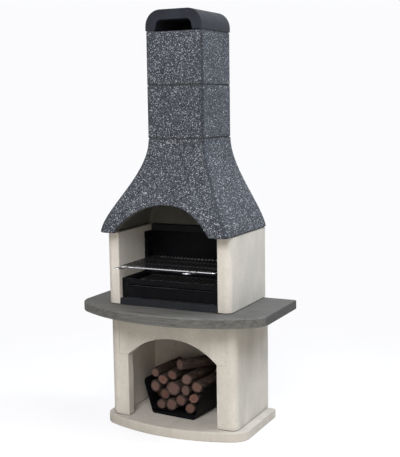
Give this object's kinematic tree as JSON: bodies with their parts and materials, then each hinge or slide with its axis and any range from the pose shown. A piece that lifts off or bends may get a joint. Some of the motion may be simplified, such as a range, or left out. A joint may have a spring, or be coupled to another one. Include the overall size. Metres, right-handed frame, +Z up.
{
  "type": "outdoor masonry barbecue",
  "caption": "Outdoor masonry barbecue with an arched log niche, a bowed worktop, a fire box, a sliding chromed cooking grate, a flared hood and a capped square chimney.",
  "frame": {"origin": "on the ground under the middle of the worktop's box, halfway between the back plane and the worktop's front edge", "axes": "+Z up; +Y towards the wall behind; -Y is the front, where the cook stands; +X to the cook's right"},
  "size_m": [1.024, 0.6, 2.1],
  "materials": {
    "pebble_concrete": "matte",
    "smooth_slate": "satin",
    "stone_top": "matte",
    "cream_concrete": "matte",
    "adhesive": "matte",
    "dark_refractory": "matte",
    "black_steel": "satin",
    "cast_iron": "matte",
    "chromed_wire": "polished",
    "bark_and_wood": "matte"
  },
  "bodies": {
    "masonry": {"base_slab": "cream_concrete", "worktop": "stone_top", "base_side_right": "cream_concrete", "base_side_left": "cream_concrete", "base_back": "cream_concrete", "base_arch": "cream_concrete", "bed_base": "adhesive", "bed_worktop": "adhesive", "hearth_wall_right": "cream_concrete", "hearth_wall_left": "cream_concrete", "hearth_back": "cream_concrete", "hearth_floor": "dark_refractory", "fireback_lining": "dark_refractory", "bed_hearth": "adhesive", "bed_hood": "adhesive", "heat_shield": "black_steel", "grate_carrier_right": "black_steel", "grate_carrier_left": "black_steel", "carrier_screw_top_left": "black_steel", "carrier_screw_top_right": "black_steel", "carrier_screw_foot_left": "black_steel", "carrier_screw_foot_right": "black_steel", "hood": "pebble_concrete", "bed_chimney_lower": "adhesive", "chimney_lower": "pebble_concrete", "bed_chimney_upper": "adhesive", "chimney_upper": "pebble_concrete", "chimney_cap": "smooth_slate", "bed_cap": "adhesive", "ember_box": "black_steel"},
    "ash_drawer": {"ash_drawer": "black_steel", "ash_drawer_grip": "black_steel"},
    "charcoal_pan": {"charcoal_pan": "black_steel"},
    "ember_grate": {"ember_grate": "cast_iron"},
    "cooking_grate": {"grate_frame": "chromed_wire", "grate_bars": "chromed_wire", "grate_handle_left": "chromed_wire", "grate_handle_right": "chromed_wire"},
    "log_basket": {"log_basket": "black_steel", "log_01": "bark_and_wood", "log_02": "bark_and_wood", "log_03": "bark_and_wood", "log_04": "bark_and_wood", "log_05": "bark_and_wood", "log_06": "bark_and_wood", "log_07": "bark_and_wood", "log_08": "bark_and_wood", "log_09": "bark_and_wood", "log_10": "bark_and_wood", "log_11": "bark_and_wood", "log_12": "bark_and_wood", "log_13": "bark_and_wood", "log_14": "bark_and_wood", "log_15": "bark_and_wood", "log_16": "bark_and_wood", "log_17": "bark_and_wood", "log_18": "bark_and_wood"}
  },
  "joints": [
    {"name": "grate_slide", "type": "slide", "parent": "masonry", "child": "cooking_grate", "axis": [0, -1, 0], "range_m": [0, 0.06]},
    {"name": "drawer_slide", "type": "slide", "parent": "masonry", "child": "ash_drawer", "axis": [0, -1, 0], "range_m": [0, 0.2]},
    {"name": "pan_lift", "type": "slide", "parent": "masonry", "child": "charcoal_pan", "axis": [0, 0, 1], "range_m": [0, 0.04]},
    {"name": "ember_grate_lift", "type": "slide", "parent": "charcoal_pan", "child": "ember_grate", "axis": [0, 0, 1], "range_m": [0, 0.03]},
    {"name": "basket_slide", "type": "slide", "parent": "masonry", "child": "log_basket", "axis": [0, -1, 0], "range_m": [0, 0.15]}
  ]
}
